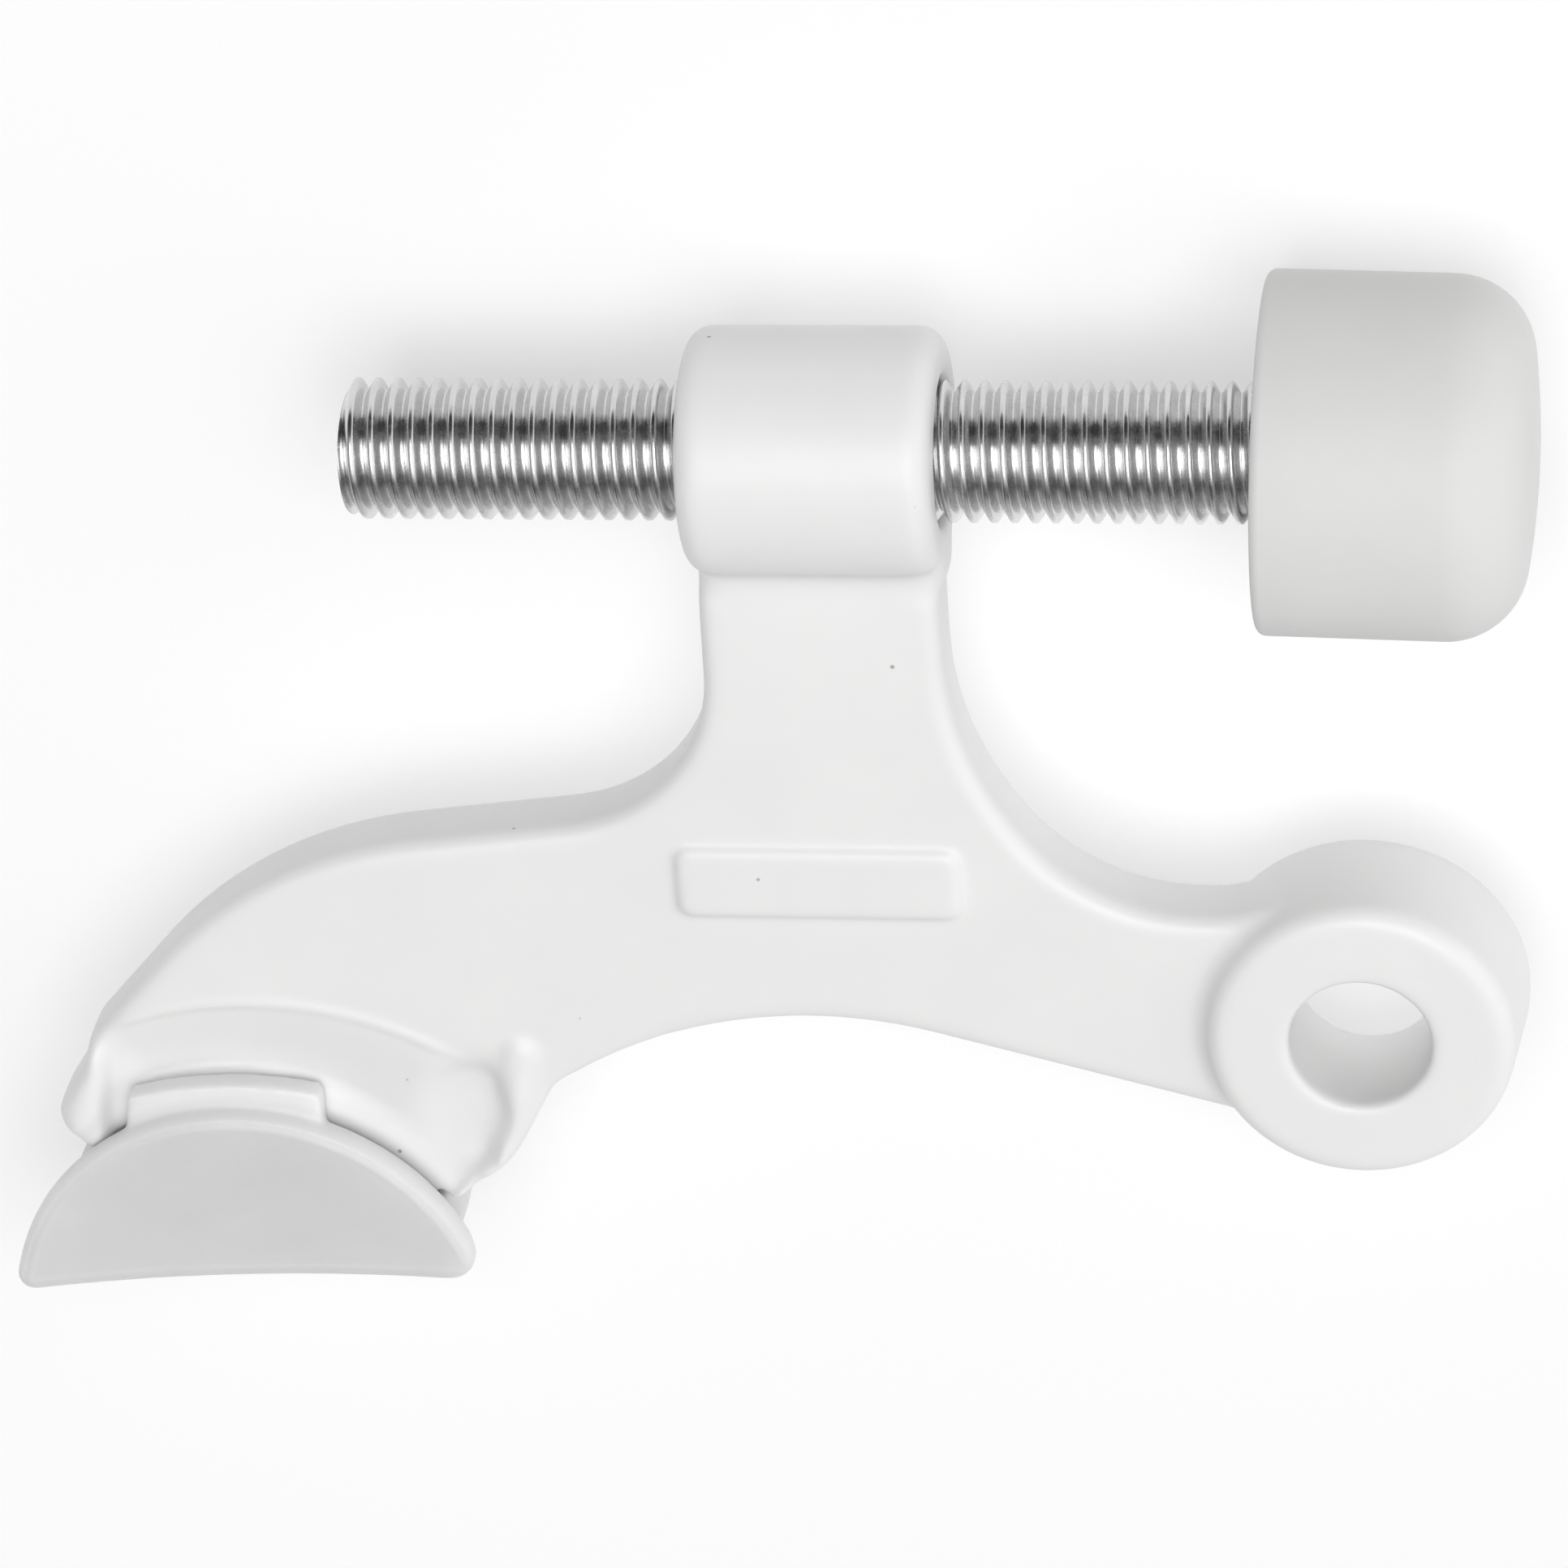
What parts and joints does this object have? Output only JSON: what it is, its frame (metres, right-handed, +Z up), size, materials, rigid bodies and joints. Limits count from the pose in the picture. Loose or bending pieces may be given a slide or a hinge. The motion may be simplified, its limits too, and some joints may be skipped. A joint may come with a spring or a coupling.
{
  "type": "hinge-pin door stop",
  "caption": "Hinge-pin door stop: a cast arm that hangs on a hinge pin, with a threaded rod and soft bumper cap to set the opening and a swivelling pad on the foot.",
  "frame": {"origin": "middle of the hinge-pin eye's bore", "axes": "+Z up along the hinge pin, +X along the threaded rod towards the bumper cap, +Y from the eye towards the rod; the body lies flat in XY"},
  "size_m": [0.0724, 0.0515, 0.016],
  "materials": {
    "white_paint": "satin white coat over die-cast zinc",
    "zinc_steel": "bright zinc plate",
    "white_vinyl": "matt soft vinyl",
    "clear_vinyl": "translucent soft vinyl"
  },
  "bodies": {
    "casting": {"body_casting": "white_paint"},
    "cap": {"bumper_cap": "white_vinyl"},
    "rod": {"threaded_rod": "zinc_steel", "head_disc": "zinc_steel"},
    "pad": {"foot_pad": "clear_vinyl"}
  },
  "joints": [
    {"name": "cap_travel", "type": "slide", "parent": "casting", "child": "cap", "axis": [1, 0, 0], "range_m": [-0.0136, 0.0145]},
    {"name": "rod_turn", "type": "hinge", "parent": "cap", "child": "rod", "pos_m": [0, 0.02844, 0], "axis": [1, 0, 0], "range_deg": [-5400, 5760]},
    {"name": "pad_swivel", "type": "hinge", "parent": "casting", "child": "pad", "pos_m": [-0.05265, -0.01656, 0], "axis": [0, 0, 1], "range_deg": [-24, 1]}
  ],
  "couplings": [
    {"joint": "rod_turn", "follows": "cap_travel", "rad_per_m": 6926.3}
  ]
}
